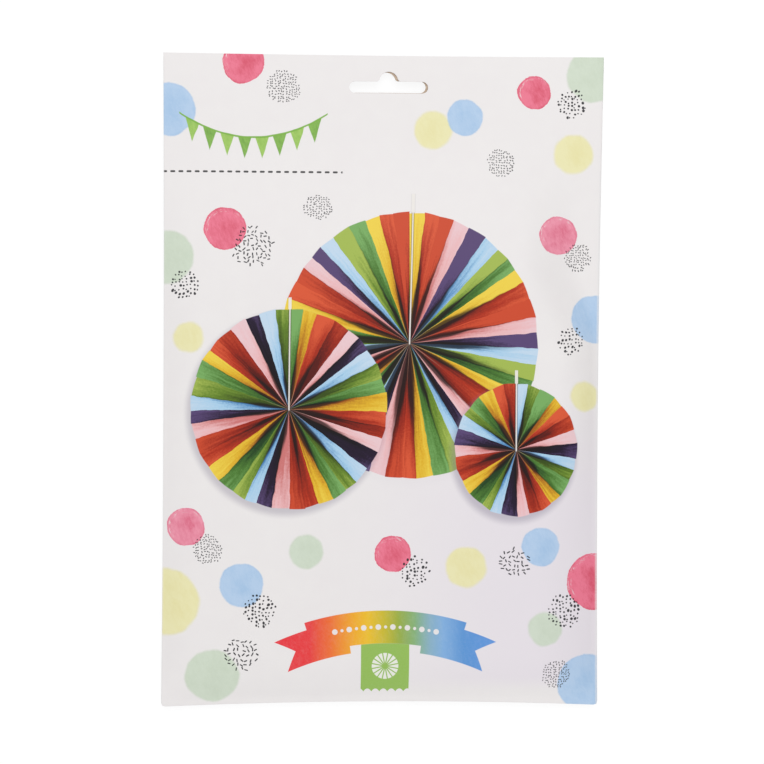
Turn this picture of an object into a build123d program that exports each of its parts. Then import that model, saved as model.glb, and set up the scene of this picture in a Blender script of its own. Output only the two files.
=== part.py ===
from build123d import *
import os

# A sealed, filled paper pack of folded fans, lying on its back.
# X runs across the print, Y runs up the print to the hang slot, and Z runs out of the print.
# The origin is under the middle of the pack, on the surface that it lies on. Millimetres.

# The folded sheet
pack_width = 200.0
pack_height = 295.0
corner_radius = 1.0        # at the foot, where the sheet is folded; the top is cut square
edge_thickness = 1.2       # both panels and the air between them, along the edges
fold_radius = 0.4          # round the folded sides and foot
crease_land = 0.25         # flat between the round of the fold and the filled panel
sheet_step = 0.3           # what one more glued layer of the sheet adds

# The filling takes up paper, so each edge bows in between its corners
left_bow = 0.6
right_bow = 1.2
bottom_bow = 2.0
top_bow = 0.4
foot_taper = 2.1           # the right edge also leans in towards the foot

# The flat strip at the top, which holds no filling
header_height = 34.0

# The filled front panel
front_rise = 6.6
front_crown = 0.8
front_side_ramp = 24.0
front_bottom_ramp = 15.0
front_top_ramp = 72.0
crown_reach = 52.0

# The filled back panel, pressed flat where it lies
back_depth = 4.0
back_side_ramp = 22.0
back_bottom_ramp = 26.0
back_top_ramp = 58.0
filled_corner_radius = 22.0

# The back's glued seams
lap_offset = 9.0           # the lap's free edge, right of the middle
flap_height = 18.0
flap_end_gap = 2.5         # how far the flap stops short of each side, at the foot
flap_end_slope = 8.0       # how much further it stops short at its free edge

# The hang slot, punched through both panels
slot_length = 35.7
slot_height = 5.3
slot_drop = 17.4           # from the top edge to the slot's lower side
slot_offset = 1.8          # the punch sits right of the middle
peg_radius = 4.2
peg_height = 9.7           # the slot's lower side to the top of the peg notch
notch_fillet = 1.6
ply_shift_left = 1.1       # the back panel's hole is out of register
ply_shift_down = 0.35

# Worked out from the sizes above
crease_low = back_depth
crease_high = crease_low + edge_thickness
ply_line = crease_low + edge_thickness / 2
pack_top = pack_height / 2
pack_bottom = -pack_height / 2
fill_top = pack_top - header_height
slot_low = pack_top - slot_drop

RAMP_STEPS = 4
CROWN_STEPS = 2
CLEAR = 5.0                # how far cutting tools run past what they cut


def bowed_sheet(side_inset, bottom_inset, bow_share):
    """The pack's outline, its sides and lower edge moved in, its edges bowed inwards."""
    left = -pack_width / 2 + side_inset
    right = pack_width / 2 - side_inset
    foot_right = right - foot_taper
    right_middle = (right + foot_right) / 2 - right_bow * bow_share
    low = pack_bottom + bottom_inset
    middle_y = (low + pack_top) / 2
    edges = [
        ThreePointArc((left, low), (0, low + bottom_bow * bow_share), (foot_right, low)),
        ThreePointArc((foot_right, low), (right_middle, middle_y), (right, pack_top)),
        ThreePointArc((right, pack_top), (0, pack_top - top_bow * bow_share), (left, pack_top)),
        ThreePointArc((left, pack_top), (left + left_bow * bow_share, middle_y), (left, low)),
    ]
    return make_face(edges)


def filled_outline(side_inset, bottom_inset, top_inset, bow_share, radius):
    """The outline of the filled part at one height, cut off below the header."""
    top = fill_top - top_inset
    below = pack_bottom - CLEAR
    window = Pos(0, (top + below) / 2) * Rectangle(pack_width + 2 * CLEAR, top - below)
    outline = bowed_sheet(side_inset, bottom_inset, bow_share) & window
    return fillet(outline.vertices(), radius)


def ramp_sections(side_ramp, bottom_ramp, top_ramp, depth):
    """Outlines from the crease to the shoulder, on a curve that flattens as it goes in."""
    sections = []
    first = fold_radius + crease_land
    for step in range(RAMP_STEPS + 1):
        share = step / RAMP_STEPS
        height = depth * (1 - (1 - share) ** 2)
        radius = corner_radius + (filled_corner_radius - corner_radius) * share
        outline = filled_outline(
            first + (side_ramp - first) * share,
            first + (bottom_ramp - first) * share,
            top_ramp * share,
            1 - share / 2,
            radius,
        )
        sections.append(Pos(0, 0, height) * outline)
    return sections


def crown_sections():
    """Outlines from the front's shoulder to the middle of its shallow crown."""
    sections = []
    for step in range(CROWN_STEPS + 1):
        share = step / (CROWN_STEPS + 1)
        inset = crown_reach * share
        outline = filled_outline(
            front_side_ramp + inset,
            front_bottom_ramp + inset,
            front_top_ramp + inset,
            (1 - share) / 2,
            filled_corner_radius,
        )
        sections.append(Pos(0, 0, front_crown * (1 - (1 - share) ** 2)) * outline)
    return sections


def front_bulge():
    """The filled front panel, above the creases."""
    ramp = loft(ramp_sections(front_side_ramp, front_bottom_ramp, front_top_ramp, front_rise))
    crown = loft(crown_sections())
    return Pos(0, 0, crease_high) * (ramp + Pos(0, 0, front_rise) * crown)


def folded_edges(thickness):
    """The two flat panels: round where the sheet is folded, square where it is cut."""
    outline = bowed_sheet(0, 0, 1)
    foot = outline.vertices().sort_by(Axis.Y)[:2]
    panels = extrude(fillet(foot, corner_radius), thickness)
    cut_edge = pack_top - top_bow - fold_radius
    rims = panels.edges().filter_by(Axis.Z, reverse=True)
    folds = [edge for edge in rims if edge.center().Y < cut_edge]
    return fillet(folds, fold_radius)


def back_shell(lift):
    """Everything below the front's creases, its outer face moved out or in by whole layers."""
    bulge = loft(ramp_sections(back_side_ramp, back_bottom_ramp, back_top_ramp, back_depth))
    bulge = Pos(0, 0, crease_low + lift) * mirror(bulge, Plane.XY)
    return bulge + Pos(0, 0, crease_low + lift) * folded_edges(edge_thickness - lift)


def region(points):
    """An upright prism that picks one zone of the back."""
    outline = make_face(Polyline(*points, close=True))
    return extrude(outline, crease_high + CLEAR)


def lap_side(sign):
    """The zone on one side of the lap's free edge."""
    far = sign * (pack_width / 2 + CLEAR)
    low = pack_bottom - CLEAR
    high = pack_top + CLEAR
    return region([(lap_offset, low), (far, low), (far, high), (lap_offset, high)])


def bottom_flap():
    """The zone of the bottom flap, folded up over the back, its ends cut at a slope."""
    left_end = -pack_width / 2 + flap_end_gap
    right_end = pack_width / 2 - foot_taper - flap_end_gap
    free_edge = pack_bottom + flap_height
    below = pack_bottom - CLEAR
    return region(
        [
            (left_end, below),
            (right_end, below),
            (right_end, pack_bottom),
            (right_end - flap_end_slope, free_edge),
            (left_end + flap_end_slope, free_edge),
            (left_end, pack_bottom),
        ]
    )


def back_half():
    """The back with its lap seam down the middle and its glued bottom flap."""
    lapped = back_shell(0)
    under = back_shell(sheet_step)
    proud = back_shell(-sheet_step)
    left = lap_side(-1)
    right = lap_side(1)
    flap = bottom_flap()
    back = (lapped & left) + (under & right)
    return back + (proud & left & flap) + (lapped & right & flap)


def hang_slot():
    """The slot's outline: a long hole with a round notch for the peg, its lower side on Y 0."""
    long_hole = Pos(0, slot_height / 2) * SlotOverall(slot_length, slot_height)
    notch = Pos(0, peg_height - peg_radius) * Circle(peg_radius)
    outline = long_hole + notch
    inner = [v for v in outline.vertices() if abs(v.X) < peg_radius + notch_fillet]
    return fillet(inner, notch_fillet)


def slot_cutters():
    """One cut for each panel, the back one a little out of register."""
    outline = hang_slot()
    front = extrude(outline, edge_thickness + CLEAR)
    back = extrude(outline, -(edge_thickness + CLEAR))
    front = Pos(slot_offset, slot_low, ply_line) * front
    back = Pos(slot_offset - ply_shift_left, slot_low - ply_shift_down, ply_line) * back
    return front + back


def paper_fan_pack():
    """The whole pack: one closed solid."""
    return front_bulge() + back_half() - slot_cutters()


os.makedirs("parts", exist_ok=True)
export_step(paper_fan_pack(), "parts/paper_fan_pack.step")
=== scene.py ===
# %% [markdown]
# A sealed paper pack of folded party fans, seen from above as it lies on a pale table.
# The real pack is one sheet of thin coated card. It is folded at both sides, lapped and glued down the
# back, folded over at the foot and sealed at the top, and a hang slot is punched through both panels.
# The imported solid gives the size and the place. Thin sheets of mesh take its place here.

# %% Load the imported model
import math

import bmesh
import bpy
from mathutils import Matrix, Vector


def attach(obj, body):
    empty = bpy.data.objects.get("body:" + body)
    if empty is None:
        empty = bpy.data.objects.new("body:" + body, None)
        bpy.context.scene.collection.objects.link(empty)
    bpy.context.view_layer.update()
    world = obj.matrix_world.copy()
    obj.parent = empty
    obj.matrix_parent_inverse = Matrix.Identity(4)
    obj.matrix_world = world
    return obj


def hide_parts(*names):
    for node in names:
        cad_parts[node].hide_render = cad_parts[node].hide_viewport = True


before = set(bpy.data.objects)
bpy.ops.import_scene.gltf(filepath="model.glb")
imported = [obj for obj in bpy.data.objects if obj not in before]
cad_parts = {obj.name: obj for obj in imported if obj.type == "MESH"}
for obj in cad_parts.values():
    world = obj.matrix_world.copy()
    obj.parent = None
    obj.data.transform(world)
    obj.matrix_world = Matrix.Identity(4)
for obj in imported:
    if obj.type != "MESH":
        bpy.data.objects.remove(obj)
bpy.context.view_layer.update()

# %% [markdown]
# Every size below is in millimetres, as a maker would read it off a ruler. The frame is in metres, so one
# value turns millimetres into metres at the moment a vertex is placed. The sizes are those of the solid.

# %% Sizes of the folded sheet
MM = 0.001

half_width = 100.0
half_height = 147.5
corner_radius = 1.0
sheet_thickness = 0.3
fold_radius = 0.4

left_bow = 0.6
right_bow = 1.2
bottom_bow = 2.0
top_bow = 0.4
foot_taper = 2.1

crease_low = 4.0
crease_high = 5.2
ply_line = 4.6
fill_top = 113.5

# %% [markdown]
# The filled panels rise from the creases on a curve that is steep at the edge and level at the shoulder.
# A distance from each edge gives a share of the way up, and the product of the shares gives the height.
# Multiplying them leaves the corners low and flat, as stiff paper does, where taking the least of them
# would make a hip roof. The ramps are the solid's, fitted a little closer to the photograph. On the right,
# the filling ends close to the fold beside the fans and further in near the top, where the rise is softer.

# %% The pillow form of the filled panels
front_rise = 6.6
front_crown = 0.45
front_ramps = {"left": 24.0, "right": 27.0, "bottom": 21.0, "top": 76.0}
front_lands = {"left": 0.5, "right": 1.2, "bottom": 2.6, "top": 0.0}
crown_reach = 52.0

right_ramp_least = 18.0
right_ramp_growth = 10.0
right_ramp_middle = -6.0
right_ramp_reach = 70.0
right_land_growth = 7.0
near_top_start = 12.0
near_top_run = 40.0

back_depth = 4.0
back_ramps = {"left": 22.0, "right": 22.0, "bottom": 26.0, "top": 58.0}
back_lands = {"left": 0.4, "right": 0.4, "bottom": 0.4, "top": 0.0}


def ease(share):
    """How high a ramp is at a share of its run: steep at first, level at its end."""
    share = min(max(share, 0.0), 1.0)
    return 1 - (1 - share) ** 2


def smooth(share):
    """Level at both ends and steepest in the middle."""
    share = min(max(share, 0.0), 1.0)
    return share * share * (3 - 2 * share)


def hump(value, centre, reach):
    """1 at the centre, falling smoothly to 0 at the reach."""
    return 1 - smooth(abs(value - centre) / reach)


def edges_at(u, v, inset):
    """The left, right, lower and upper edge of the bowed sheet, at a place from -1 to 1 each way."""
    left = -half_width + inset + left_bow * (1 - v * v)
    right = half_width - inset - right_bow * (1 - v * v) - foot_taper * (1 - v) / 2
    low = -half_height + inset + bottom_bow * (1 - u * u)
    high = half_height - 0.05 - top_bow * (1 - u * u)
    return left, right, low, high


def distances(x, y):
    """How far a point lies inside each side, the foot and the filled part's upper end."""
    left, right, low, _ = edges_at(x / half_width, y / half_height, 0.0)
    return {"left": x - left, "right": right - x, "bottom": y - low, "top": fill_top - y}


def filled(x, y, ramps, lands, softer_right=0.0):
    """0 at the creases and 1 on the level part. The land is the flat strip beside each fold."""
    away = distances(x, y)
    # 0 is a ramp that is steepest at its crease, 1 one that is level there too
    softer = {"left": 0.0, "right": softer_right, "bottom": 0.0, "top": 1.0}
    share_up = 1.0
    for edge, run in ramps.items():
        share = (away[edge] - lands[edge]) / run
        share_up *= ease(share) + (smooth(share) - ease(share)) * softer[edge]
    return share_up


# %% [markdown]
# A filled paper panel is never quite smooth. The folded fans inside lift it in long soft ridges, the paper
# ripples where it is pulled in at the right side, and a few faint tension creases run down from the header.
# Each is a small sum of waves, a few tenths of a millimetre high, so that only raking light shows it.

# %% Ripples, ridges and tension creases
def ripples(x, y):
    """The small unevenness of the front panel, in millimetres."""
    away = distances(x, y)
    inside = smooth(min(away["left"], away["right"]) / 14)
    inside = inside * smooth(away["bottom"] / 14) * smooth(away["top"] / 22)
    broad = 0.10 * math.sin(x / 21.0 + 0.7) * math.sin(y / 33.0 - 0.4)
    broad += 0.06 * math.sin(x / 11.0 - y / 29.0 + 1.9)
    ridge = 0.16 * hump(x, -33.0, 9.0) * smooth((70 - abs(y + 20)) / 40)
    ridge += 0.14 * hump(x, 36.0, 8.0) * smooth((80 - abs(y + 10)) / 40)
    pulled = 0.12 * math.sin(y / 4.6 + 0.5 * math.sin(y / 13.0)) * hump(x, 84.0, 14.0) * smooth((y + 20) / 60)
    taut = 0.10 * math.sin(x / 6.5 + 0.3 * math.sin(x / 9.0)) * hump(y, 88.0, 26.0)
    dents = -0.22 * hump(x, 62.0, 22.0) * hump(y, -104.0, 16.0)
    dents -= 0.16 * hump(x, -58.0, 18.0) * hump(y, -112.0, 14.0)
    return inside * (broad + ridge + pulled + taut + dents)


pressed = 0.15
lap_edge = 9.0
lap_under = -3.0


def sealed(y):
    """0 over the filling and the slot, 1 at the cut top edge, where the plies are pressed together."""
    return smooth((y - (half_height - 9.0)) / 8.0)


def front_height(x, y):
    """The outside of the front panel above the table."""
    near_top = smooth((y - near_top_start) / near_top_run)
    from_middle = smooth(abs(y - right_ramp_middle) / right_ramp_reach)
    ramps = front_ramps | {"right": right_ramp_least + right_ramp_growth * from_middle}
    lands = front_lands | {"right": front_lands["right"] + right_land_growth * near_top}
    crown_ramps = {edge: crown_reach for edge in front_ramps}
    away = distances(x, y)
    crown = math.prod(ease((away[edge] - front_ramps[edge]) / run) for edge, run in crown_ramps.items())
    rise = front_rise * filled(x, y, ramps, lands, near_top)
    return crease_high - pressed * sealed(y) + rise + front_crown * crown + ripples(x, y)


def back_height(x, y):
    """The outside of the back panel above the table: flat where the pack lies on it."""
    beside_lap = smooth((lap_under - 1 - x) / 5.0)
    seal = (pressed + sheet_thickness * beside_lap) * sealed(y)
    return crease_low + seal - back_depth * filled(x, y, back_ramps, back_lands)


print("front height in the middle, mm:", round(front_height(0, -40), 2))

# %% [markdown]
# Each panel starts as a flat grid. Moving its vertices by one formula bends it, so the whole panel stays one
# clean sheet of four-sided faces that shades smoothly. The border that wraps round a fold is then extruded
# in a quarter turn down to the line where front and back meet.
# A vertex layer keeps each border vertex's outward direction, and extruding copies it to the new vertices.

# %% Bend a grid into a folded sheet
FOLD_STEPS = 4


def grid_sheet(columns, rows, span, height):
    """A grid moved to its place, in metres, and its vertices by their place from -1 to 1."""
    bm = bmesh.new()
    bm.verts.layers.float_vector.new("outward")
    bmesh.ops.create_grid(bm, x_segments=columns, y_segments=rows, size=1.0)
    places = {vert: (vert.co.x, vert.co.y) for vert in bm.verts}
    for vert, (u, v) in places.items():
        x, y = span(u, v)
        vert.co = Vector((x, y, height(x, y))) * MM
    return bm, places


def wrap_folds(bm, places, left=True, right=True, foot=True):
    """Extrudes the folded borders in a quarter turn, from the panel to the line between the plies."""
    outward = bm.verts.layers.float_vector["outward"]
    edge_of_grid = 0.9999
    for vert, (u, v) in places.items():
        across = -1 if (left and u < -edge_of_grid) else 1 if (right and u > edge_of_grid) else 0
        along = -1 if (foot and v < -edge_of_grid) else 0
        vert[outward] = Vector((across, along, 0)).normalized() if (across or along) else Vector((0, 0, 0))

    def wrapped(edge):
        (u0, v0), (u1, v1) = (places[vert] for vert in edge.verts)
        at_left = left and max(u0, u1) < -edge_of_grid
        at_right = right and min(u0, u1) > edge_of_grid
        at_foot = foot and max(v0, v1) < -edge_of_grid
        return at_left or at_right or at_foot

    edges = [edge for edge in bm.edges if edge.is_boundary and wrapped(edge)]
    turned = 0.0
    for step in range(1, FOLD_STEPS + 1):
        angle = math.pi / 2 * step / FOLD_STEPS
        made = bmesh.ops.extrude_edge_only(bm, edges=edges)["geom"]
        for vert in (part for part in made if isinstance(part, bmesh.types.BMVert)):
            vert.co += vert[outward] * fold_radius * MM * (math.sin(angle) - math.sin(turned))
            above = vert.co.z - ply_line * MM
            vert.co.z = ply_line * MM + above * math.cos(angle) / math.cos(turned)
        edges = [part for part in made if isinstance(part, bmesh.types.BMEdge)]
        turned = angle


def rounded_corner(x, y, side):
    """A corner of the foot, moved in along its round."""
    cut_in = corner_radius * (1 - math.sqrt(0.5))
    return x - math.copysign(cut_in, side), y + cut_in


def whole_span(u, v):
    """The panel inside its folds: bowed edges, and the foot's two corners rounded."""
    left, right, low, high = edges_at(u, v, fold_radius)
    x = left + (right - left) * (u + 1) / 2
    y = low + (high - low) * (v + 1) / 2
    if abs(u) == 1 and v == -1:
        x, y = rounded_corner(x, y, u)
    return x, y


# %% [markdown]
# The hang slot is traced as half an outline and mirrored. Spinning a single vertex leaves an arc behind it,
# so the round end, the small concave corner and the peg notch follow one another as a punch maker would
# draw them. The closed outline becomes a prism, and a Boolean cuts it out of a panel, as the punch does.
# The back panel's hole is out of register, so its edge shows in the front panel's slot.

# %% The punch for the hang slot
slot_length = 35.7
slot_height = 5.3
slot_low = 130.1
slot_middle = 1.8
peg_radius = 4.2
peg_height = 9.7
notch_fillet = 1.6
ply_shift_left = 1.1
ply_shift_up = 0.22
ply_notch_drop = 0.5


def last_vert(made):
    return next(part for part in made["geom_last"] if isinstance(part, bmesh.types.BMVert))


def slot_punch(name, middle, low, z_from, z_to, notch_top=peg_height):
    """A prism with the slot's outline, its lower side at low, all in millimetres."""
    end_x = (slot_length - slot_height) / 2
    peg_y = notch_top - peg_radius
    corner_y = slot_height + notch_fillet
    corner_x = math.sqrt((peg_radius + notch_fillet) ** 2 - (corner_y - peg_y) ** 2)
    quarter_left = math.acos((corner_y - peg_y) / (peg_radius + notch_fillet))
    bm = bmesh.new()
    vert = bmesh.ops.create_vert(bm, co=(0, 0, 0))["vert"][0]

    def run_to(vert, x, y):
        new = bmesh.ops.extrude_vert_indiv(bm, verts=[vert])["verts"][0]
        new.co = (x, y, 0)
        return new

    def turn(vert, x, y, angle, steps):
        made = bmesh.ops.spin(
            bm, geom=[vert], cent=(x, y, 0), axis=(0, 0, 1), angle=angle, steps=steps,
            use_merge=False, use_duplicate=False,
        )
        return last_vert(made)

    vert = run_to(vert, end_x, 0)
    vert = turn(vert, end_x, slot_height / 2, math.pi, 20)
    vert = run_to(vert, corner_x, slot_height)
    vert = turn(vert, corner_x, corner_y, -quarter_left, 8)
    vert = turn(vert, 0, peg_y, quarter_left, 12)
    vert.co.x = 0
    bmesh.ops.mirror(bm, geom=bm.verts[:] + bm.edges[:], axis="X", merge_dist=1e-4)
    bmesh.ops.remove_doubles(bm, verts=bm.verts, dist=1e-4)
    face = bmesh.ops.contextual_create(bm, geom=bm.edges[:])["faces"]
    bmesh.ops.translate(bm, verts=bm.verts, vec=(middle, low, z_from))
    top = bmesh.ops.extrude_face_region(bm, geom=face)["geom"]
    top = [part for part in top if isinstance(part, bmesh.types.BMVert)]
    bmesh.ops.translate(bm, verts=top, vec=(0, 0, z_to - z_from))
    bmesh.ops.scale(bm, verts=bm.verts, vec=(MM, MM, MM))
    bmesh.ops.recalc_face_normals(bm, faces=bm.faces)
    for side in bm.faces:
        side.material_index = CUT_EDGE
    mesh = bpy.data.meshes.new(name)
    bm.to_mesh(mesh)
    bm.free()
    return bpy.data.objects.new(name, mesh)


# %% [markdown]
# A sheet of card has two faces and a thin edge. The Solidify modifier gives the bent grid its 0.3 mm of
# thickness on the inside, and puts the hidden face and the edge in material slots of their own.
# The result is applied, so that the punch cuts a closed sheet and its new walls take the cut edge's slot.

# %% Give a sheet its thickness and punch it
OUTER, CUT_EDGE, INNER = 0, 1, 2


def applied(piece):
    """The piece's mesh with its modifiers worked in."""
    graph = bpy.context.evaluated_depsgraph_get()
    mesh = bpy.data.meshes.new_from_object(piece.evaluated_get(graph))
    piece.modifiers.clear()
    piece.data = mesh


def finish_sheet(name, bm, materials, facing, punch=None):
    """A grid as a closed sheet. facing is 1 where its outer side looks up and -1 where it looks down."""
    if facing < 0:
        bmesh.ops.reverse_faces(bm, faces=bm.faces)
    mesh = bpy.data.meshes.new(name)
    bm.to_mesh(mesh)
    bm.free()
    piece = bpy.data.objects.new(name, mesh)
    bpy.context.scene.collection.objects.link(piece)
    for material in materials:
        piece.data.materials.append(material)
    wall = piece.modifiers.new("thickness of the card", "SOLIDIFY")
    wall.thickness = sheet_thickness * MM
    wall.offset = -1
    wall.use_even_offset = True
    wall.material_offset = INNER
    wall.material_offset_rim = CUT_EDGE
    applied(piece)
    if punch:
        bpy.context.scene.collection.objects.link(punch)
        hole = piece.modifiers.new("hang slot", "BOOLEAN")
        hole.operation = "DIFFERENCE"
        hole.solver = "EXACT"
        hole.object = punch
        applied(piece)
        bpy.data.objects.remove(punch)
    piece.data.name = name
    piece.data.shade_smooth()
    piece.data.set_sharp_from_angle(angle=math.radians(40))
    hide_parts("paper_fan_pack")
    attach(piece, "root")
    print(name, "faces:", len(piece.data.polygons))
    return piece


# %% [markdown]
# A picture of the print that is made from this model needs the card laid out flat. The printed face takes
# nearly the whole square, and its wrapped borders are drawn out sideways so that they keep some width. The
# bare inside and the cut edges have a narrow strip each. A cut edge is only 0.3 mm high, so it lies across
# its whole strip: the printed side on one border, the bare side on the other.

# %% Lay the printed sheet out flat
strips = {OUTER: (0.0, 0.93), INNER: (0.94, 0.965), CUT_EDGE: (0.972, 0.997)}
border_stretch = 8.0
border_room = 4.0


def flat_place(x, y):
    """A place on the card as shares of the layout, from 0 to 1 across and along."""
    away = distances(x, y)
    past = {edge: max(0.0, fold_radius - away[edge]) * border_stretch for edge in away}
    across = (x + half_width + past["right"] - past["left"] + border_room) / (2 * (half_width + border_room))
    along = (y + half_height - past["bottom"] + border_room) / (2 * half_height + border_room + 1)
    return across, along


def lay_out_print(piece):
    """A UV map in which the printed face takes nearly the whole square."""
    bm = bmesh.new()
    bm.from_mesh(piece.data)
    layout = bm.loops.layers.uv.new("OFBake")
    printed = {vert for face in bm.faces if face.material_index == OUTER for vert in face.verts}
    for face in bm.faces:
        low, high = strips[face.material_index]
        runs_across = abs(face.normal.y) > abs(face.normal.x)
        for loop in face.loops:
            across, along = flat_place(loop.vert.co.x / MM, loop.vert.co.y / MM)
            if face.material_index == CUT_EDGE:
                along = across if runs_across else along
                across = loop.vert in printed
            loop[layout].uv = (low + (high - low) * across, along)
    bm.to_mesh(piece.data)
    bm.free()


# %% [markdown]
# The print is made of shader nodes, because flat colour with soft brush edges has no form of its own. A long
# formula is hard to read as separate Math nodes, so a small class lets a number that changes over the surface
# be added, multiplied and compared like any other. Each step still makes one ordinary node.

# %% Arithmetic on fields
def feed(tree, slot, value):
    """Joins a field or an output to a node's input, or sets a plain value on it."""
    if isinstance(value, Field):
        value = value.output
    if isinstance(value, bpy.types.NodeSocket):
        tree.links.new(value, slot)
    else:
        slot.default_value = value


class Field:
    """A number that changes over the surface."""

    def __init__(self, output):
        self.output = output
        self.tree = output.id_data

    def math(self, operation, *others):
        node = self.tree.nodes.new("ShaderNodeMath")
        node.operation = operation
        for slot, value in zip(node.inputs, (self, *others)):
            feed(self.tree, slot, value)
        return Field(node.outputs[0])

    def __add__(self, other):
        return self.math("ADD", other)

    def __sub__(self, other):
        return self.math("SUBTRACT", other)

    def __mul__(self, other):
        return self.math("MULTIPLY", other)

    def __truediv__(self, other):
        return self.math("DIVIDE", other)

    __radd__, __rmul__ = __add__, __mul__

    def __rsub__(self, other):
        return (self * -1.0) + other

    def size(self):
        return self.math("ABSOLUTE")

    def least(self, other):
        return self.math("MINIMUM", other)

    def most(self, other):
        return self.math("MAXIMUM", other)

    def power(self, exponent):
        return self.math("POWER", exponent)

    def wave(self):
        return self.math("SINE")

    def whole(self):
        return self.math("FLOOR")

    def part(self):
        return self.math("FRACT")

    def rise(self, low, high):
        """0 below low and 1 above high, smoothly. It falls instead where low is the larger."""
        node = self.tree.nodes.new("ShaderNodeMapRange")
        node.interpolation_type = "SMOOTHSTEP"
        for name, value in (("Value", self), ("From Min", low), ("From Max", high)):
            feed(self.tree, node.inputs[name], value)
        return Field(node.outputs[0])


def distance(x, y):
    return (x * x + y * y).math("SQRT")


def blend(tree, share, first, second, kind="MIX"):
    """The first colour, going over to the second as the share goes from 0 to 1."""
    node = tree.nodes.new("ShaderNodeMix")
    node.data_type = "RGBA"
    node.blend_type = kind
    colours = [slot for slot in node.inputs if slot.type == "RGBA"]
    for slot, value in zip((node.inputs[0], *colours), (share, first, second)):
        feed(tree, slot, value)
    return next(output for output in node.outputs if output.type == "RGBA")


def noise(tree, x, y, z=0.0, scale=1.0, detail=2.0, roughness=0.5):
    """Soft random cloud from 0 to 1. Scale is in turns to one unit of the given place."""
    place = tree.nodes.new("ShaderNodeCombineXYZ")
    for slot, value in zip(place.inputs, (x, y, z)):
        feed(tree, slot, value)
    node = tree.nodes.new("ShaderNodeTexNoise")
    tree.links.new(place.outputs[0], node.inputs["Vector"])
    node.inputs["Scale"].default_value = scale
    node.inputs["Detail"].default_value = detail
    node.inputs["Roughness"].default_value = roughness
    return Field(node.outputs["Fac"])


def chance(tree, *numbers):
    """A random number from 0 to 1 for each set of whole numbers."""
    place = tree.nodes.new("ShaderNodeCombineXYZ")
    for slot, value in zip(place.inputs, numbers):
        feed(tree, slot, value)
    node = tree.nodes.new("ShaderNodeTexWhiteNoise")
    tree.links.new(place.outputs[0], node.inputs["Vector"])
    return Field(node.outputs["Value"])


def ink(red, green, blue):
    """A colour as a print maker reads it, 0 to 255, as Blender's linear light."""
    shares = [value / 255 for value in (red, green, blue)]
    linear = [((c + 0.055) / 1.055) ** 2.4 if c > 0.0404 else c / 12.92 for c in shares]
    return (*linear, 1.0)


def bands(tree, place, colours, hard=True):
    """Colours along a place from 0 to 1, as hard stripes of one width or as a soft gradient of stops."""
    node = tree.nodes.new("ShaderNodeValToRGB")
    feed(tree, node.inputs[0], place)
    stops = node.color_ramp.elements
    if hard:
        node.color_ramp.interpolation = "CONSTANT"
        colours = [(count / len(colours), colour) for count, colour in enumerate(colours)]
    for position, colour in colours[2:]:
        stops.new(position)
    for stop, (position, colour) in zip(stops, colours):
        stop.position = position
        stop.color = colour
    return node.outputs[0]


# %% [markdown]
# Every motif is one node group that takes the ground it is printed on and gives the printed ground back.
# Motifs are then chained like screens on a printing press, and a motif that is used many times, such as a
# paint dot, is built once and placed with its own numbers. Places are in millimetres from the pack's middle.

# %% Build and place node groups
def new_group(name, inputs, outputs):
    """A shader group, its inputs as fields or colours by name, and its output node."""
    kinds = {float: "NodeSocketFloat", tuple: "NodeSocketColor"}
    tree = bpy.data.node_groups.new(name, "ShaderNodeTree")
    for label, value in inputs.items():
        socket = tree.interface.new_socket(label, in_out="INPUT", socket_type=kinds[type(value)])
        socket.default_value = value
    for label, kind in outputs.items():
        tree.interface.new_socket(label, in_out="OUTPUT", socket_type=kinds[kind])
    given = tree.nodes.new("NodeGroupInput").outputs
    fields = {
        label: Field(given[label]) if type(value) is float else given[label]
        for label, value in inputs.items()
    }
    return tree, fields, tree.nodes.new("NodeGroupOutput")


def put_out(tree, end, **values):
    for label, value in values.items():
        feed(tree, end.inputs[label.replace("_", " ")], value)


def use(tree, group, values):
    """Places a group in a tree with its own values, and gives back its outputs."""
    node = tree.nodes.new("ShaderNodeGroup")
    node.node_tree = group
    node.label = group.name
    for label, value in values.items():
        feed(tree, node.inputs[label], value)
    return node.outputs


WHITE = (1.0, 1.0, 1.0, 1.0)

# %% [markdown]
# A paint dot is a wet brush mark: a nearly round outline that wobbles, upright strokes of stronger and weaker
# colour, a rim where the paint pooled, and thin arcs of bare paper near the rim where the brush skipped.
# Watery paints have a soft edge and let the ground through. Thick ones are crisp, and only they skip, so
# one function builds a group for each: the watery one is spared the cost of the arcs.

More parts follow.
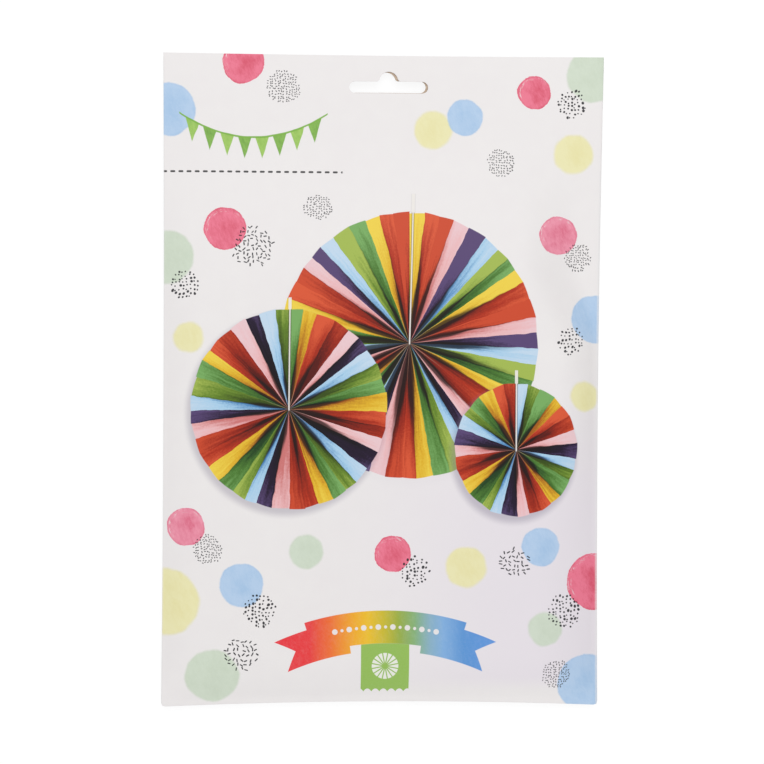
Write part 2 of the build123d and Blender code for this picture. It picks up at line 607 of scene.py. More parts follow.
# %% Paint dot
def build_paint_dot(name, brush_skips):
    tree, given, end = new_group(
        name,
        {"Ground": WHITE, "X": 0.0, "Y": 0.0, "Wobble": 0.5, "Strokes": 0.5, "Grit": 0.5,
         "Centre X": 0.0, "Centre Y": 0.0, "Radius": 8.0, "Paint": WHITE, "Pooled paint": WHITE,
         "Softness": 0.15, "Cover": 0.95},
        {"Colour": tuple},
    )
    x = given["X"] - given["Centre X"]
    y = given["Y"] - given["Centre Y"]
    reach = distance(x, y)
    depth = given["Radius"] - reach + (given["Wobble"] - 0.5) * 1.9 + (given["Grit"] - 0.5) * 0.7
    soft = given["Softness"]
    covered = depth.rise(soft * -1.0, soft)
    rim = depth.rise(1.1, 0.1)
    heart = (distance(x - given["Radius"] * 0.16, y * 0.8) / given["Radius"]).rise(0.8, 0.1)
    pooled = (given["Strokes"] - 0.5) * 2.4 + (given["Wobble"] - 0.5) * 1.4 + rim * 0.4 + heart * 0.42 + 0.16
    paint = blend(tree, pooled.most(0.0).least(1.0), given["Paint"], given["Pooled paint"])
    cover = covered * given["Cover"]
    if brush_skips:
        along = x.math("ARCTAN2", y) * given["Radius"]
        arcs = noise(tree, along * 0.2, reach * 1.5, given["Centre X"], scale=1.0, detail=3.0, roughness=0.7)
        skips = arcs.rise(0.54, 0.64) * depth.rise(2.6, 1.5) * depth.rise(0.2, 0.6)
        skips = skips * (y - x * 0.8).rise(-2.0, 5.0)
        cover = cover * (1.0 - skips * 0.75)
    put_out(tree, end, Colour=blend(tree, cover, given["Ground"], paint))
    return tree


crisp_dot = build_paint_dot("crisp paint dot", True)
watery_dot = build_paint_dot("watery paint dot", False)
print("paint dot nodes:", len(crisp_dot.nodes), "crisp,", len(watery_dot.nodes), "watery")

# %% [markdown]
# The pen circles are filled with ticks of black ink. A Voronoi texture scatters one point in each cell, and
# its Position output says where, so a tick is drawn round that point, and a circle keeps a tick only if its
# point lies inside. No tick is then cut by the circle's outline, as with marks made by hand.

# %% Pen ticks, round and long
def cells(tree, x, y, pitch, randomness):
    """The nearest scattered point, the way to it, and a random number of its own."""
    place = tree.nodes.new("ShaderNodeCombineXYZ")
    feed(tree, place.inputs[0], x)
    feed(tree, place.inputs[1], y)
    node = tree.nodes.new("ShaderNodeTexVoronoi")
    node.voronoi_dimensions = "2D"
    tree.links.new(place.outputs[0], node.inputs["Vector"])
    node.inputs["Scale"].default_value = 1 / pitch
    node.inputs["Randomness"].default_value = randomness
    point = tree.nodes.new("ShaderNodeSeparateXYZ")
    tree.links.new(node.outputs["Position"], point.inputs[0])
    random = tree.nodes.new("ShaderNodeSeparateColor")
    tree.links.new(node.outputs["Color"], random.inputs[0])
    return Field(point.outputs[0]), Field(point.outputs[1]), Field(random.outputs[0])


def build_pen_ticks():
    tree, given, end = new_group(
        "pen ticks",
        {"X": 0.0, "Y": 0.0},
        {label + part: float for label in ("Spot", "Dash", "Fleck") for part in (" mark", " X", " Y")},
    )
    x = given["X"] + (noise(tree, given["X"], given["Y"], 4.0, scale=0.11, detail=0.0) - 0.5) * 2.2
    y = given["Y"] + (noise(tree, given["X"], given["Y"], 8.0, scale=0.11, detail=0.0) - 0.5) * 2.2
    spot_x, spot_y, random = cells(tree, x, y, 1.66, 0.6)
    spots = (distance(x - spot_x, y - spot_y) - random * random * 0.34).rise(0.4, 0.24)
    put_out(tree, end, Spot_mark=spots, Spot_X=spot_x, Spot_Y=spot_y)

    def strokes(pitch, half_length, half_width):
        """Short pen strokes, each at its own slant."""
        centre_x, centre_y, random = cells(tree, x, y, pitch, 0.58)
        slant = random * math.tau
        across_x, across_y = slant.math("COSINE"), slant.wave()
        dx, dy = x - centre_x, y - centre_y
        along = ((dx * across_x + dy * across_y).size() - half_length).most(0.0)
        aside = dy * across_x - dx * across_y
        return distance(along, aside).rise(half_width + 0.1, half_width - 0.1), centre_x, centre_y

    dashes, dash_x, dash_y = strokes(2.0, 0.5, 0.28)
    put_out(tree, end, Dash_mark=dashes, Dash_X=dash_x, Dash_Y=dash_y)
    flecks, fleck_x, fleck_y = strokes(1.16, 0.2, 0.2)
    put_out(tree, end, Fleck_mark=flecks, Fleck_X=fleck_x, Fleck_Y=fleck_y)
    return tree


def build_pen_circle():
    tree, given, end = new_group(
        "pen circle",
        {"Ground": WHITE, "Ticks": 0.0, "Tick X": 0.0, "Tick Y": 0.0,
         "Centre X": 0.0, "Centre Y": 0.0, "Radius": 8.0, "Ink": (0.02, 0.02, 0.024, 1.0)},
        {"Colour": tuple},
    )
    away = distance(given["Tick X"] - given["Centre X"], given["Tick Y"] - given["Centre Y"])
    kept = away.math("LESS_THAN", given["Radius"]) * given["Ticks"] * 0.96
    put_out(tree, end, Colour=blend(tree, kept, given["Ground"], given["Ink"]))
    return tree


pen_ticks = build_pen_ticks()
pen_circle = build_pen_circle()

# %% [markdown]
# Each printed fan is a picture of the product: a strip of striped paper, pleated and closed in a ring. One
# turn round the centre is counted in pleat faces. The whole part of that count picks the stripe's colour
# and the fraction says how far across the face a point lies. Faces lean left and right in turn, so they take
# the light in turn. Their colour deepens from the rim inwards, and dark wedges grow out of the valleys until
# they meet round the centre, where the pleats crowd together.

# %% Striped fan
AT_THE_RIM = [
    ink(242, 212, 76), ink(222, 90, 54), ink(208, 76, 44), ink(238, 204, 208),
    ink(90, 71, 116), ink(198, 220, 238), ink(166, 188, 84), ink(123, 175, 99),
]
HALF_WAY = [
    ink(226, 178, 40), ink(178, 48, 22), ink(158, 39, 18), ink(238, 184, 185),
    ink(34, 19, 46), ink(168, 208, 235), ink(104, 136, 42), ink(76, 122, 47),
]
IN_THE_FOLDS = [
    ink(168, 94, 18), ink(114, 28, 14), ink(88, 18, 10), ink(208, 120, 118),
    ink(16, 10, 18), ink(80, 138, 190), ink(56, 78, 18), ink(30, 64, 26),
]


def build_striped_fan():
    tree, given, end = new_group(
        "striped fan",
        {"Ground": WHITE, "X": 0.0, "Y": 0.0, "Grit": 0.5, "Centre X": 0.0, "Centre Y": 0.0, "Radius": 50.0,
         "Height share": 1.0, "Deeper below": 0.0, "Faces": 48.0, "First stripe": 0.0, "Seed": 0.0,
         "Strip past rim": 5.0, "Strip lean": 0.0, "Shadow": 0.2, "Depth": 0.0},
        {"Colour": tuple},
    )
    x = given["X"] - given["Centre X"]
    from_middle = given["Y"] - given["Centre Y"]
    y = from_middle / (given["Height share"] + from_middle.rise(20.0, -20.0) * given["Deeper below"])
    radius = given["Radius"]
    reach = distance(x, y)
    share = reach / radius

    shadow = (distance(x + 1.1, y + 2.0) - radius).rise(3.0, -1.4) * given["Shadow"]
    ground = blend(tree, shadow, given["Ground"], ink(120, 110, 138))

    turn = (x.math("ARCTAN2", y) / math.tau + 1.0).part()
    waver = noise(tree, x, y, given["Seed"], scale=0.12, detail=2.5)
    uneven = (turn * (7 * math.tau)).wave() * 0.12 + (turn * (11 * math.tau) + given["Seed"]).wave() * 0.1
    count = turn * given["Faces"] + (waver - 0.5) * 0.3 + uneven
    count = count.most(0.0).least(given["Faces"] - 0.001)
    face = count.whole()
    across = count.part()
    stripe = ((face + given["First stripe"]) / 8.0).part() + 1 / 16
    lean = (face * 0.5).part() * 2.0
    from_ridge = across + lean - across * lean * 2.0
    own_depth = chance(tree, face, given["Seed"], 1.0)
    own_wedge = chance(tree, (face * 0.5 + 0.5).whole(), given["Seed"], 2.0)

    light_x, light_y = -0.62, 0.78
    streak_strength, face_change, facing_change = 1.45, 0.3, 0.2
    facing = (x * light_y - y * light_x) / reach.most(0.01) * (1.0 - lean * 2.0)
    streaks = noise(tree, count * 3.0, share * 1.5, given["Seed"] + 7.0, detail=4.0, roughness=0.7)
    inwards = (1.0 - share).most(0.0)
    depth = inwards * 1.02 + from_ridge.power(1.5) * (inwards * 0.5 + 0.18) - facing * facing_change
    depth = depth + lean * 0.15 + (streaks - 0.5) * streak_strength
    depth = depth + (own_depth - 0.5) * face_change - (y / radius) * 0.1
    depth = depth + (given["Grit"] - 0.5) * 0.5 + given["Depth"] - 0.19
    first_half = (depth * 2.0).most(0.0).least(1.0)
    second_half = (depth * 2.0 - 1.0).most(0.0).least(1.0)
    colour = blend(tree, first_half, bands(tree, stripe, AT_THE_RIM), bands(tree, stripe, HALF_WAY))
    colour = blend(tree, second_half, colour, bands(tree, stripe, IN_THE_FOLDS))

    level = share.rise(0.06, 0.72) + (own_wedge - 0.5) * 0.62 + (y / radius) * 0.12 + given["Depth"] * 0.2
    wedge = (from_ridge * 1.06 - level + (streaks - 0.5) * 0.6).rise(-0.04, 0.36) * share.rise(0.95, 0.4)
    colour = blend(tree, wedge * 0.88, colour, ink(20, 10, 8))
    width = reach * math.tau / given["Faces"]
    lucky = own_depth.rise(0.5, 0.6)
    ridge_line = (from_ridge * width).rise(0.2, 0.04) * share.rise(0.4, 0.06) * lucky * 0.5
    colour = blend(tree, ridge_line, colour, ink(196, 164, 140))
    valley_line = ((1.0 - from_ridge) * width).rise(0.4, 0.05) * share.rise(1.1, 0.5) * 0.4
    colour = blend(tree, valley_line, colour, ink(30, 12, 10))

    rim = reach - radius - (from_ridge - 0.5) * 0.5 + (own_depth - 0.5) * 0.5
    colour = blend(tree, rim.rise(0.16, -0.16), ground, colour)

    strip_x = (x - y * given["Strip lean"]).size()
    above = y - radius
    strip_half = above.rise(-0.2, 0.2) * 0.4 + 0.3
    in_length = y.rise(-0.9, -0.2) * (above - given["Strip past rim"]).rise(0.15, -0.15)
    outline = (strip_x - strip_half).rise(0.55, 0.1) * in_length * (above.rise(0.5, -0.5) * 0.5 + 0.12)
    colour = blend(tree, outline, colour, ink(50, 30, 28))
    strip = (strip_x - strip_half).rise(0.12, -0.12) * in_length * 0.92
    colour = blend(tree, strip, colour, ink(240, 236, 230))
    put_out(tree, end, Colour=colour)
    return tree


striped_fan = build_striped_fan()
print("striped fan nodes:", len(striped_fan.nodes))

# %% [markdown]
# The banner is a band between two circles of one centre, with a swallow-tailed end behind it at each side.
# Measured from that centre, a bent ribbon is straight: the distance runs across it and the angle along it.

# %% Arched banner with its tab
def build_banner():
    tree, given, end = new_group(
        "arched banner", {"Ground": WHITE, "X": 0.0, "Y": 0.0, "Grit": 0.5, "Strokes": 0.5}, {"Colour": tuple}
    )
    x = given["X"] - 0.85
    y = given["Y"] + 226.9
    reach = distance(x, y)
    angle = x.math("ARCTAN2", y) * (180 / math.pi)
    away = angle.size()

    def strip_of(low, high):
        return (reach - low).rise(-0.12, 0.12) * (high - reach).rise(-0.12, 0.12)

    outer, inner, drop = 123.4, 108.6, 3.4
    band = strip_of(inner, outer) * away.rise(17.3, 17.15)
    middle = (outer + inner) / 2 - drop
    notch = (1.0 - (reach - middle).size() / ((outer - inner) / 2)).most(0.0) * 3.6
    tails = strip_of(inner - drop, outer - drop) * (away + notch).rise(24.7, 24.55) * away.rise(8.4, 8.55)
    colours = bands(
        tree,
        (x + 50.0) / 100.0,
        [(0.0, ink(235, 34, 52)), (0.16, ink(235, 51, 53)), (0.25, ink(241, 108, 34)),
         (0.36, ink(244, 173, 12)), (0.42, ink(240, 193, 12)), (0.49, ink(204, 187, 26)),
         (0.56, ink(152, 175, 56)), (0.63, ink(132, 178, 116)), (0.7, ink(136, 178, 198)),
         (0.76, ink(128, 176, 224)), (0.85, ink(88, 150, 214)), (1.0, ink(90, 150, 223))],
        hard=False,
    )
    cover = band.most(tails) * (given["Grit"] * 0.1 + 0.92)
    colours = blend(tree, given["Strokes"].rise(0.42, 0.75) * 0.05, colours, WHITE)
    colour = blend(tree, cover, given["Ground"], colours)

    beads = (angle / 1.62 + 0.5).part() - 0.5
    bead_x = beads * (1.62 * math.pi / 180 * (outer + inner) / 2)
    odd = ((angle / 1.62 + 0.5).whole() * 0.5).part() * 2.0
    bead = (distance(bead_x, reach - (outer + inner) / 2) - 0.7 - odd * 0.55).rise(0.12, -0.12)
    colour = blend(tree, bead * away.rise(12.4, 12.3) * 0.95, colour, ink(238, 234, 232))

    tab_x = (given["X"] - 0.7).size()
    teeth = ((given["X"] + 99.3 + 10.85) / 3.617).part() * 2.0 - 1.0
    foot = given["Y"] + 140.7 - (1.0 - teeth * teeth) * 1.4
    tab = tab_x.rise(10.95, 10.75) * foot.rise(-0.1, 0.1) * (inner - reach).rise(-0.1, 0.1)
    tab = tab * given["Y"].rise(-112.0, -116.0)
    colour = blend(tree, tab * (given["Grit"] * 0.1 + 0.92), colour, ink(148, 190, 84))
    mark_x, mark_y = given["X"] - 0.7, given["Y"] + 128.6
    mark_reach = distance(mark_x, mark_y)
    pleats = (mark_x.math("ARCTAN2", mark_y) * (16 / math.tau) + 16.0).part() - 0.5
    pleat_line = (pleats.size() * mark_reach * math.tau / 16).rise(0.16, 0.36)
    mark = (mark_reach - 6.0).rise(0.12, -0.12) * pleat_line * mark_reach.rise(0.7, 1.0)
    colour = blend(tree, mark * 0.95, colour, ink(240, 240, 232))
    put_out(tree, end, Colour=colour)
    return tree


arched_banner = build_banner()

# %% [markdown]
# The heading's place holds a plain string of party pennants above a dashed rule. The string is a shallow
# curve, and the pennants repeat along it: the fraction of a count gives the place across one pennant, whose
# allowed half width shrinks with the depth below the string. The brush wobble keeps the edges hand made.

# %% String of pennants and dashed rule
def build_heading():
    tree, given, end = new_group(
        "pennants and dashed rule",
        {"Ground": WHITE, "X": 0.0, "Y": 0.0, "Wobble": 0.5, "Strokes": 0.5},
        {"Colour": tuple},
    )
    x, y = given["X"], given["Y"]
    across = x + 59.3
    string = across * across * 0.0098 + 109.5 + (given["Wobble"] - 0.5) * 0.8
    within = across.size().rise(31.6, 31.4)
    pitch, deep, half = 7.9, 9.6, 3.1
    count = across / pitch + 100.0
    beside = ((count.part() - 0.5) * pitch + (given["Wobble"] - 0.5) * 0.7).size()
    below = string - y
    pennant = (beside - (1.0 - below / deep) * half).rise(0.16, -0.16) * below.rise(-0.1, 0.1)
    odd = (count.whole() * 0.5).part() * 2.0
    light = blend(tree, given["Strokes"].rise(0.3, 0.7), ink(164, 206, 94), ink(140, 188, 70))
    dark = blend(tree, given["Strokes"].rise(0.3, 0.7), ink(134, 186, 70), ink(106, 162, 50))
    green = blend(tree, odd, light, dark)
    colour = blend(tree, pennant * within * 0.95, given["Ground"], green)
    cord = (below.size() - 0.42).rise(0.12, -0.12) * across.size().rise(33.6, 33.3)
    colour = blend(tree, cord * 0.95, colour, ink(128, 180, 70))

    dash = (((x + 100.6) / 3.66).part() * 3.66 - 1.4).size() - 0.66
    dashes = distance(dash.most(0.0), y - 93.9).rise(0.56, 0.36) * x.rise(-18.8, -19.2)
    colour = blend(tree, dashes * 0.92, colour, ink(22, 20, 22))
    put_out(tree, end, Colour=colour)
    return tree


heading = build_heading()

# %% [markdown]
# All the card shares one fine surface: a tooth too small to see as bumps, long soft fibres, and a slow cloudy
# change of tone. It is one group with its own place for each panel, and each material sets how strongly it
# shows, because the coated front is smoother than the bare inside.

# %% Tooth of the card
def build_card_tooth():
    tree, given, end = new_group(
        "card tooth",
        {"X": 0.0, "Y": 0.0, "Z": 0.0, "Seed": 0.0},
        {"Height": float, "Cloud": float, "Fibre": float},
    )
    x, y, z, seed = (given[label] for label in ("X", "Y", "Z", "Seed"))
    fine = noise(tree, x + seed, y, z, scale=1.7, detail=3.0, roughness=0.6)
    fibre = noise(tree, x * 0.5 + seed, y * 2.2, z * 2.2, scale=0.9, detail=2.0)
    waves = noise(tree, x + seed, y, z, scale=0.11, detail=1.0)
    cloud = noise(tree, x + seed, y, z, scale=0.022, detail=2.0, roughness=0.6)
    put_out(tree, end, Height=fine * 0.3 + fibre * 0.2 + waves * 2.4, Cloud=cloud, Fibre=fibre)
    return tree


card_tooth = build_card_tooth()


def new_material(name):
    """A material with its shader, and the place on the piece in millimetres as three fields."""
    material = bpy.data.materials.new(name)
    material.use_nodes = True
    tree = material.node_tree
    shader = tree.nodes["Principled BSDF"]
    place = tree.nodes.new("ShaderNodeTexCoord").outputs["Object"]
    to_mm = tree.nodes.new("ShaderNodeMapping")
    to_mm.inputs["Scale"].default_value = (1 / MM,) * 3
    tree.links.new(place, to_mm.inputs["Vector"])
    split = tree.nodes.new("ShaderNodeSeparateXYZ")
    tree.links.new(to_mm.outputs["Vector"], split.inputs[0])
    return material, tree, shader, [Field(output) for output in split.outputs]


def add_bump(tree, shader, height, depth_mm):
    bump = tree.nodes.new("ShaderNodeBump")
    bump.inputs["Strength"].default_value = 1.0
    bump.inputs["Distance"].default_value = depth_mm * MM
    feed(tree, bump.inputs["Height"], height)
    tree.links.new(bump.outputs["Normal"], shader.inputs["Normal"])


# %% [markdown]
# The printed front is the ground colour with every motif laid over it in turn. The dots and pen circles are
# this pack's own loose scatter in the margins round the fans. The larger fan is printed first, so that the
# two others lie over it. Low on the right the ground is painted a little darker, a painted shade. Along the
# folds the card is painted paler, a painted sheen for the light on the round of each fold, and made a little
# rougher.

# %% Printed front
CRIMSON = {"Paint": ink(240, 118, 144), "Pooled paint": ink(218, 74, 102), "Softness": 0.14, "Cover": 0.96}
ROSE = {"Paint": ink(242, 150, 172), "Pooled paint": ink(224, 106, 134), "Softness": 0.16, "Cover": 0.96}
BLUE = {"Paint": ink(180, 208, 237), "Pooled paint": ink(162, 197, 231), "Softness": 0.45, "Cover": 0.92}
YELLOW = {"Paint": ink(239, 234, 174), "Pooled paint": ink(234, 227, 158), "Softness": 1.0, "Cover": 0.86}
GREEN = {"Paint": ink(208, 222, 200), "Pooled paint": ink(199, 214, 190), "Softness": 0.85, "Cover": 0.86}

PAINT_DOTS = [
    (-64, 143.5, 9.6, CRIMSON), (-97.5, 122, 12, BLUE), (22, 113.5, 8.6, YELLOW), (36.5, 119.5, 8.2, BLUE),
    (68, 131, 7.6, CRIMSON), (95, 139, 12, GREEN), (86, 103, 9, YELLOW), (-98, 55, 12, GREEN),
    (-72, 68, 9.6, CRIMSON), (-88, 19, 6.8, YELLOW), (79, 66, 8.8, ROSE), (96, 28, 11, BLUE),
    (91, -7, 6.6, YELLOW), (-89, -66, 8.6, ROSE), (-98, -100, 15, YELLOW), (-64, -92, 9.8, BLUE),
    (-35, -77, 7.6, GREEN), (4, -78, 8.2, CRIMSON), (37, -84, 9.2, YELLOW), (71, -75, 8.6, BLUE),
    (96, -91, 13, CRIMSON), (-77, -133, 12, GREEN), (73, -112, 7.6, GREEN), (92, -137, 13, BLUE),
]
PEN_CIRCLES = [
    (-46, 132.5, 7.6, "Fleck"), (53, 99, 6.4, "Fleck"), (85, 126, 6.6, "Spot"), (-59, 60, 9.6, "Dash"),
    (-30, 78, 6.2, "Fleck"), (-90, 43, 6.6, "Spot"), (88, 56, 6.4, "Fleck"), (85, 18, 6.2, "Spot"),
    (-79, -76, 6.6, "Fleck"), (-56, -103.5, 7.2, "Spot"), (14, -86, 6.6, "Spot"), (59, -82, 6.8, "Dash"),
    (82, -104, 7.8, "Spot"), (-64, -123, 7.6, "Dash"), (78, -133, 6.6, "Fleck"),
]
FANS = [
    {"Centre X": 11.2, "Centre Y": 16.8, "Radius": 57.9, "Height share": 1.02, "Deeper below": 0.033,
     "Faces": 51.0, "First stripe": 0.0, "Seed": 3.0, "Strip past rim": 8.4, "Strip lean": 0.028,
     "Shadow": 0.03, "Depth": -0.02},
    {"Centre X": -42.9, "Centre Y": -13.1, "Radius": 44.0, "Height share": 1.02,
     "Faces": 40.0, "First stripe": 7.0, "Seed": 11.0, "Strip past rim": 5.2, "Strip lean": 0.007,
     "Shadow": 0.38, "Depth": 0.2},
    {"Centre X": 59.6, "Centre Y": -31.2, "Radius": 27.8, "Height share": 1.075,
     "Faces": 30.0, "First stripe": 5.0, "Seed": 23.0, "Strip past rim": 5.6, "Strip lean": 0.0,
     "Shadow": 0.42, "Depth": 0.18},
]


def printed_front_material():
    material, tree, shader, (x, y, z) = new_material("printed coated card")
    tooth = use(tree, card_tooth, {"X": x, "Y": y, "Z": z, "Seed": 0.0})
    wobble = noise(tree, x, y, scale=0.13, detail=1.5, roughness=0.5)
    strokes = noise(tree, x * 0.9 + y * 0.35, y * 0.4 - x * 0.15, 5.0, scale=0.7, detail=5.0, roughness=0.72)
    grit = noise(tree, x, y, 9.0, scale=1.1, detail=3.0, roughness=0.7)
    place = {"X": x, "Y": y}
    brush = {"Wobble": wobble, "Strokes": strokes}

    mottle = Field(tooth["Cloud"]) + (wobble - 0.5) * 0.9
    ground = blend(tree, mottle.most(0.0).least(1.0), ink(238, 234, 233), ink(241, 238, 236))
    # Painted shade: low on the right, where the side slopes away, the ground is painted a little darker and
    # more lavender.
    painted_shade_lower_right = x.rise(-40.0, 70.0) * y.rise(14.0, -64.0) * y.rise(-142.0, -133.0)
    colour = blend(tree, painted_shade_lower_right, ground, ink(234, 228, 233))
    for centre_x, centre_y, radius, paint in PAINT_DOTS:
        values = {"Centre X": float(centre_x), "Centre Y": float(centre_y), "Radius": float(radius)}
        values |= paint | {"Ground": colour, "Grit": grit}
        dot = crisp_dot if paint in (CRIMSON, ROSE) else watery_dot
        colour = use(tree, dot, values | place | brush)["Colour"]
    ticks = use(tree, pen_ticks, place)
    for centre_x, centre_y, radius, kind in PEN_CIRCLES:
        values = {"Centre X": float(centre_x), "Centre Y": float(centre_y), "Radius": radius}
        values |= {"Ground": colour}
        values |= {"Ticks": ticks[kind + " mark"], "Tick X": ticks[kind + " X"], "Tick Y": ticks[kind + " Y"]}
        colour = use(tree, pen_circle, values)["Colour"]
    colour = use(tree, heading, {"Ground": colour} | place | brush)["Colour"]
    banner_brush = {"Grit": grit, "Strokes": strokes}
    colour = use(tree, arched_banner, {"Ground": colour} | banner_brush | place)["Colour"]
    for fan in FANS:
        colour = use(tree, striped_fan, fan | {"Ground": colour, "Grit": grit} | place)["Colour"]

    # Painted sheen: along the folds the card is painted a pale neutral for the light on the round of each
    # fold. The same mask also makes the fold a little rougher.
    up = y / half_height
    from_right = (half_width - right_bow - foot_taper / 2) - x + up * up * right_bow + up * (foot_taper / 2)
    from_left = x + (half_width - left_bow) + up * up * left_bow
    fold_sheen_and_wear = from_right.rise(1.3, 0.6).most(from_left.rise(0.8, 0.2) * 0.6)
    fold_sheen_and_wear = fold_sheen_and_wear * (Field(tooth["Fibre"]) * 0.6 + 0.2) * y.rise(100.0, 90.0)
    colour = blend(tree, fold_sheen_and_wear.least(1.0), colour, ink(234, 234, 233))
    feed(tree, shader.inputs["Base Color"], colour)
    feed(tree, shader.inputs["Roughness"], Field(tooth["Cloud"]) * 0.1 + 0.4 + fold_sheen_and_wear * 0.15)
    shader.inputs["Specular IOR Level"].default_value = 0.22
    add_bump(tree, shader, Field(tooth["Height"]), 0.03)
    return material


def plain_back_material():
    """The unprinted outside of the back, with the glue showing faintly through the lap."""
    material, tree, shader, (x, y, z) = new_material("plain coated card")
    tooth = use(tree, card_tooth, {"X": x, "Y": y, "Z": z, "Seed": 40.0})
    glue = noise(tree, x, y * 0.12, 3.0, scale=0.5, detail=2.0)
    line = (x - 3.4).size().rise(4.2, 2.6) * glue.rise(0.36, 0.6) * y.rise(-132.0, -126.0)
    colour = blend(tree, Field(tooth["Cloud"]), ink(234, 231, 229), ink(242, 239, 237))
    colour = blend(tree, line * 0.35, colour, ink(222, 214, 204))
    colour = blend(tree, Field(tooth["Fibre"]).rise(0.62, 0.78) * 0.3, colour, ink(222, 218, 214))
    feed(tree, shader.inputs["Base Color"], colour)
    feed(tree, shader.inputs["Roughness"], Field(tooth["Cloud"]) * 0.12 + 0.42)
    add_bump(tree, shader, Field(tooth["Height"]) + line * 0.6, 0.035)
    return material


def board_material(name, pale, dark, seed):
    """Bare board: the cut edge, or the grey-brown inside."""
    material, tree, shader, (x, y, z) = new_material(name)
    tooth = use(tree, card_tooth, {"X": x, "Y": y, "Z": z, "Seed": seed})
    share = Field(tooth["Fibre"]).rise(0.3, 0.72)
    feed(tree, shader.inputs["Base Color"], blend(tree, share, pale, dark))
    shader.inputs["Roughness"].default_value = 0.85
    add_bump(tree, shader, Field(tooth["Height"]), 0.06)
    return material


front_card = printed_front_material()
back_card = plain_back_material()
cut_edge = board_material("cut edge of the card", ink(232, 222, 214), ink(204, 188, 174), 60.0)
inside_board = board_material("bare inside of the card", ink(208, 188, 166), ink(184, 162, 142), 80.0)
print("printed front nodes:", len(front_card.node_tree.nodes))

# %% [markdown]
# The pack is four sheets: the printed front, the back's lapping panel and the panel under it, and the foot's
# flap. Front and back share one outline, so their wrapped borders meet edge to edge along the fold.

# %% Make the four sheets
FRONT_COLUMNS, FRONT_ROWS = 132, 196
BACK_ROWS = 110

bm, places = grid_sheet(FRONT_COLUMNS, FRONT_ROWS, whole_span, front_height)
wrap_folds(bm, places)
punch = slot_punch("front punch", slot_middle, slot_low, ply_line, crease_high + 2)
printed_front = finish_sheet("printed_front", bm, [front_card, cut_edge, inside_board], 1, punch)
lay_out_print(printed_front)


def part_span(start, end):
    """The strip of the back panel from one place across it to another, in millimetres."""

    def span(u, v):
        left, right, _, _ = edges_at(u, v, fold_radius)
        left = left if start is None else start
        right = right if end is None else end
        x = left + (right - left) * (u + 1) / 2
        _, _, low, high = edges_at(x / half_width, v, fold_radius)
        y = low + (high - low) * (v + 1) / 2
        if v == -1 and ((start is None and u == -1) or (end is None and u == 1)):
            x, y = rounded_corner(x, y, u)
        return x, y

    return span


def under_height(x, y):
    """The panel under the lap lies one thickness further in."""
    away = distances(x, y)
    near_fold = smooth(min(away["left"], away["right"], away["bottom"]) / 3.0)
    seal = sheet_thickness * smooth((lap_under - 1 - x) / 5.0) * sealed(y)
    return back_height(x, y) - seal + sheet_thickness * near_fold


def back_sheet(name, columns, start, end, height, **folds):
    bm, places = grid_sheet(columns, BACK_ROWS, part_span(start, end), height)
    wrap_folds(bm, places, **folds)
    middle = slot_middle - ply_shift_left
    low, notch_top = slot_low + ply_shift_up, peg_height - ply_notch_drop
    punch = slot_punch(name + " punch", middle, low, crease_low - 2, ply_line + 0.15, notch_top)
    return finish_sheet(name, bm, [back_card, cut_edge, inside_board], -1, punch)


back_lap = back_sheet("back_lap", 56, None, lap_edge, back_height, right=False)
back_under = back_sheet("back_under", 52, lap_under, None, under_height, left=False)

flap_height = 18.0
flap_end_gap = 2.5
flap_end_slope = 8.0


def flap_span(u, v):
    up = (v + 1) / 2
    left = -half_width + flap_end_gap + flap_end_slope * up
    right = half_width - foot_taper - flap_end_gap - flap_end_slope * up
    x = left + (right - left) * (u + 1) / 2
    _, _, low, _ = edges_at(x / half_width, -1, fold_radius)
    return x, low + flap_height * up


def flap_height_at(x, y):
    """Proud of whichever panel it is glued to, and draped over the lap's free edge."""
    away = distances(x, y)["bottom"] - fold_radius
    over_lap = 1 - smooth((x - lap_edge + 0.6) / 2.4)
    lift = sheet_thickness * (1 - over_lap)
    return back_height(x, y) + lift * smooth(away / 3.0) - sheet_thickness * smooth(away / 1.2)


bm, places = grid_sheet(90, 12, flap_span, flap_height_at)
bottom_flap = finish_sheet("bottom_flap", bm, [back_card, cut_edge, inside_board], -1)

# %% [markdown]
# The pack lies on a plain pale table. The table is white to the camera, so that the picture's ground is
# white, but it keeps a share of its real shading, so that the pack's soft shadow stays. The light is a bright
# room with one soft box beyond the top of the pack, which is why the print is a little brighter there, and a
# weak fill beyond its foot. The room is dimmer low down on the right, so that the slope of the right side
# shows as a soft darker band.

# %% Table, room and lamps
def build_table():
    bm = bmesh.new()
    bmesh.ops.create_grid(bm, x_segments=1, y_segments=1, size=3.0)
    mesh = bpy.data.meshes.new("table")
    bm.to_mesh(mesh)
    bm.free()
    table = bpy.data.objects.new("table", mesh)
    bpy.context.scene.collection.objects.link(table)
    material = bpy.data.materials.new("white table")
    material.use_nodes = True
    tree = material.node_tree
    tree.nodes.remove(tree.nodes["Principled BSDF"])
    rays = tree.nodes.new("ShaderNodeLightPath")
    seen = Field(rays.outputs["Is Camera Ray"]).most(Field(rays.outputs["Is Glossy Ray"]))
    seen = seen.most(Field(rays.outputs["Is Transmission Ray"]))
    plain = tree.nodes.new("ShaderNodeBsdfDiffuse")
    plain.inputs["Color"].default_value = (0.78, 0.78, 0.78, 1)
    faint = tree.nodes.new("ShaderNodeBsdfDiffuse")
    faint.inputs["Color"].default_value = (0.17, 0.17, 0.17, 1)
    glow = tree.nodes.new("ShaderNodeEmission")
    glow.inputs["Strength"].default_value = 0.87
    white = tree.nodes.new("ShaderNodeAddShader")
    tree.links.new(faint.outputs[0], white.inputs[0])
    tree.links.new(glow.outputs[0], white.inputs[1])
    either = tree.nodes.new("ShaderNodeMixShader")
    feed(tree, either.inputs[0], seen)
    tree.links.new(plain.outputs[0], either.inputs[1])
    tree.links.new(white.outputs[0], either.inputs[2])
    tree.links.new(either.outputs[0], tree.nodes["Material Output"].inputs["Surface"])
    mesh.materials.append(material)


build_table()

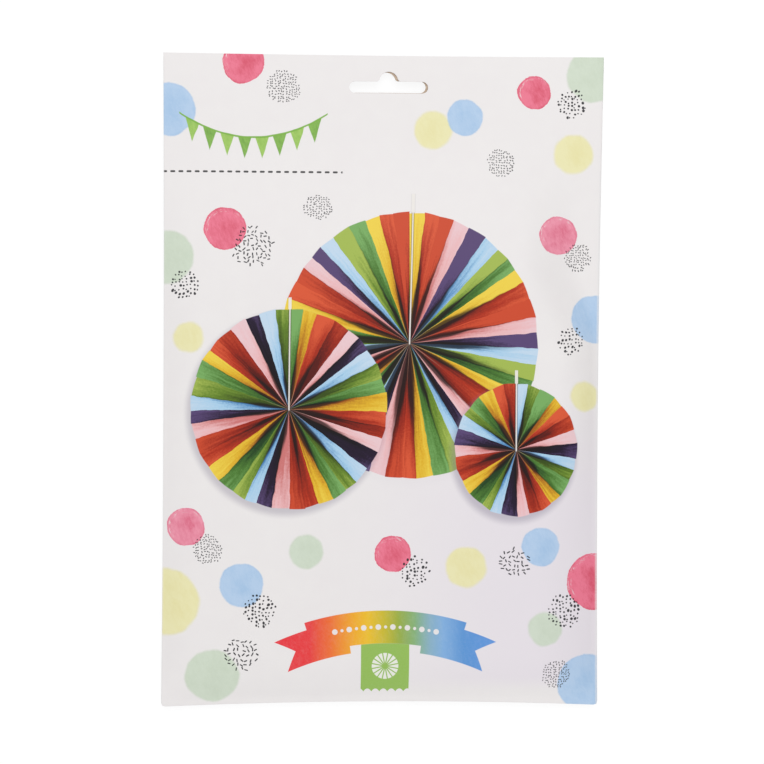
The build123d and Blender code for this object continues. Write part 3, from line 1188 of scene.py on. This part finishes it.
world = bpy.data.worlds.new("bright room")
bpy.context.scene.world = world
world.use_nodes = True
tree = world.node_tree
rays = tree.nodes.new("ShaderNodeLightPath")
room = tree.nodes["Background"]
room.inputs["Color"].default_value = (0.985, 0.985, 1.0, 1)
room_strength, seen_strength, right_dimming = 0.72, 1.0, 0.8
seen = Field(rays.outputs["Is Camera Ray"])
towards = tree.nodes.new("ShaderNodeSeparateXYZ")
tree.links.new(tree.nodes.new("ShaderNodeTexCoord").outputs["Generated"], towards.inputs[0])
right, height = Field(towards.outputs[0]), Field(towards.outputs[2])
dim_side = right.rise(0.35, 0.8) * height.rise(0.6, 0.25) * (1.0 - seen) * right_dimming
strength = seen * (seen_strength - room_strength) + room_strength
feed(tree, room.inputs["Strength"], strength * (1.0 - dim_side))


def soft_box(name, place, aim, width, height, power, colour=(1, 1, 1)):
    """A rectangular lamp at a place in metres, turned to its aim."""
    lamp = bpy.data.lights.new(name, "AREA")
    lamp.shape = "RECTANGLE"
    lamp.size, lamp.size_y = width, height
    lamp.energy = power
    lamp.color = colour
    box = bpy.data.objects.new(name, lamp)
    box.location = place
    box.rotation_euler = (Vector(aim) - Vector(place)).to_track_quat("-Z", "Y").to_euler()
    bpy.context.scene.collection.objects.link(box)


soft_box("soft box beyond the top", (0.05, 0.6, 1.1), (0, 0.02, 0), 0.8, 0.6, 4.7)
soft_box("low fill beyond the foot", (0.15, -0.8, 0.3), (0.02, -0.1, 0), 0.8, 0.3, 0.85)

# %% [markdown]
# The photograph looks straight down at the print from about 0.9 m, from a little to the left, so the left
# edge is a touch longer than the right. Width, height and lens together fix the frame.

# %% Camera
camera_distance = 0.9
camera_tilt = math.radians(2.8)
camera_roll = math.radians(0.2)
aim = Vector((-0.95, -0.77, 8.0)) * MM

lens = bpy.data.cameras.new("camera")
lens.sensor_width = 36.0
lens.lens = 93.9
camera = bpy.data.objects.new("camera", lens)
bpy.context.scene.collection.objects.link(camera)
bpy.context.scene.camera = camera
back = Vector((-math.sin(camera_tilt), 0, math.cos(camera_tilt)))
across = Vector((0, 1, 0)).cross(back).normalized()
up = back.cross(across)
turned_across = across * math.cos(camera_roll) + up * math.sin(camera_roll)
turned_up = up * math.cos(camera_roll) - across * math.sin(camera_roll)
view = Matrix((turned_across, turned_up, back)).transposed().to_4x4()
view.translation = aim + back * camera_distance
camera.matrix_world = view

bpy.context.scene.view_settings.view_transform = "Standard"
